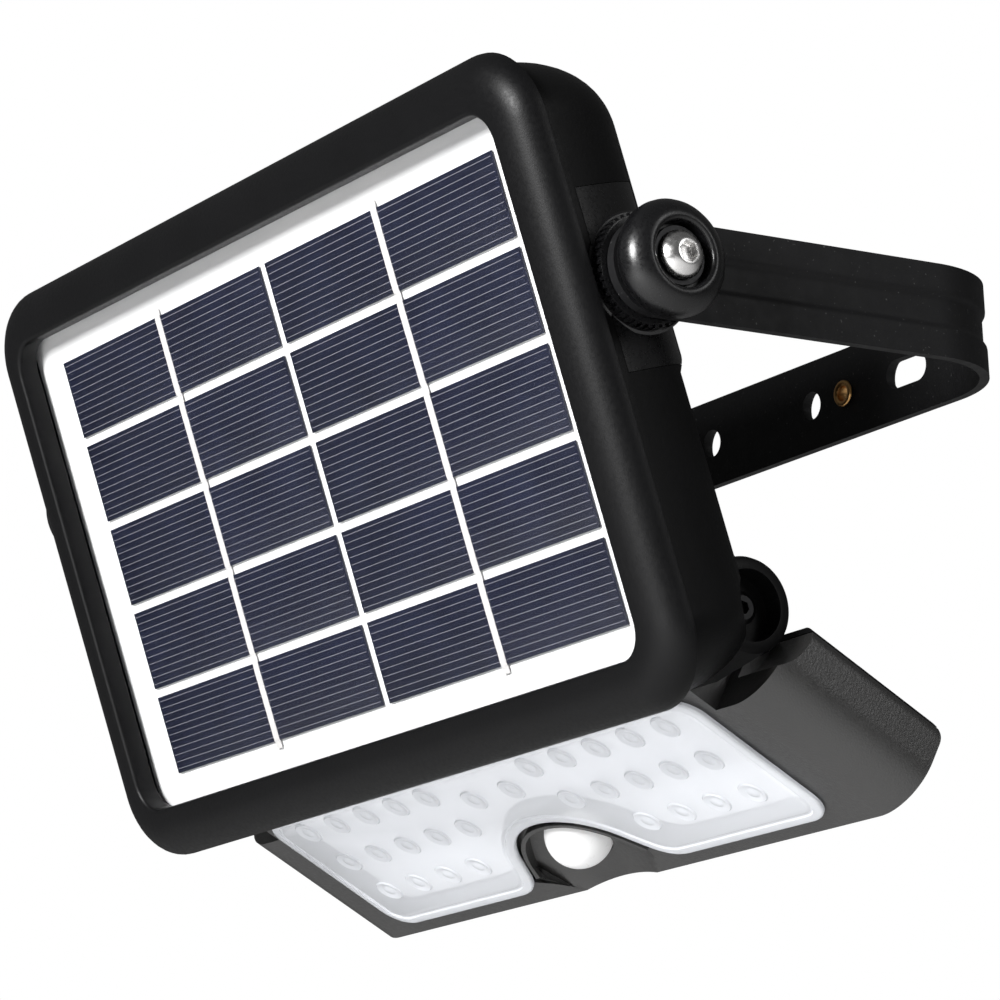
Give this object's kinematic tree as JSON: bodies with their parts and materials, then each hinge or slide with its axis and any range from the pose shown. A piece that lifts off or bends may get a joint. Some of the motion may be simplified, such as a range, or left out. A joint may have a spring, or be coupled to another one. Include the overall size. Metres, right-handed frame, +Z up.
{
  "type": "solar flood light",
  "caption": "Solar panel head with a hinged LED lamp head and motion sensor, tilting on a U-shaped steel wall bracket.",
  "frame": {"origin": "on the back face of the bracket's wall pad, 7 mm above the middle screw hole's centre", "axes": "+X along the pivot axis, to the right as seen from the front; +Y into the wall; +Z up; the solar cells face -Y and down"},
  "size_m": [0.2548, 0.1376, 0.1534],
  "materials": {
    "black_plastic": "fine-grained moulded black plastic",
    "knob_plastic": "satin moulded black plastic",
    "lamp_plastic": "grained charcoal plastic",
    "powder_coat": "black powder coat",
    "rubber": "matt black rubber",
    "steel": "bright stainless",
    "brass": "turned brass",
    "silicon": "navy silicon under laminate",
    "cover_glass": "clear laminate",
    "white_sheet": "white backing sheet",
    "white_plastic": "milky white plastic",
    "lens_plastic": "clear moulded lens",
    "led_white": "white circuit board with LEDs",
    "circuit_board": "green solder mask",
    "cell_wrap": "printed sleeve over a metal can"
  },
  "bodies": {
    "bracket": {"bracket_strap": "powder_coat", "wall_pad": "rubber", "thread_insert": "brass"},
    "panel_head": {"panel_frame": "black_plastic", "rear_housing": "black_plastic", "pivot_insert_right": "black_plastic", "pivot_insert_left": "black_plastic", "knob_right": "knob_plastic", "knob_left": "knob_plastic", "housing_screw_1_right": "steel", "housing_screw_1_left": "steel", "housing_screw_2_right": "steel", "housing_screw_2_left": "steel", "knob_screw_right": "steel", "knob_screw_left": "steel", "knob_washer_right": "steel", "knob_washer_left": "steel", "hinge_screw_right": "steel", "hinge_screw_left": "steel", "hinge_washer_right": "steel", "hinge_washer_left": "steel", "pivot_nut_right": "brass", "pivot_nut_left": "brass", "cell_string_right": "silicon", "cell_string_left": "silicon", "panel_cover": "cover_glass", "panel_board": "white_sheet", "battery_tray": "white_plastic", "charge_board": "circuit_board", "battery_cell_1": "cell_wrap", "battery_cell_2": "cell_wrap"},
    "lamp_head": {"lamp_front": "lamp_plastic", "lamp_back": "black_plastic", "lamp_screw_1_right": "steel", "lamp_screw_1_left": "steel", "lamp_screw_2_right": "steel", "lamp_screw_2_left": "steel", "lens_cover": "lens_plastic", "led_board": "led_white", "sensor_dome": "white_plastic", "sensor_can": "steel", "sensor_board": "circuit_board"},
    "button": {"mode_button": "rubber"}
  },
  "joints": [
    {"name": "panel_tilt", "type": "hinge", "parent": "bracket", "child": "panel_head", "pos_m": [0, -0.1043, -0.007], "axis": [1, 0, 0], "range_deg": [-90, 12]},
    {"name": "lamp_tilt", "type": "hinge", "parent": "panel_head", "child": "lamp_head", "pos_m": [0, -0.07287, -0.07226], "axis": [1, 0, 0], "range_deg": [-20, 46]},
    {"name": "button_press", "type": "slide", "parent": "panel_head", "child": "button", "axis": [0, -0.9588, -0.284], "range_m": [0, 0.0012], "stiffness_N_per_m": 500, "springref_m": -0.0006}
  ]
}
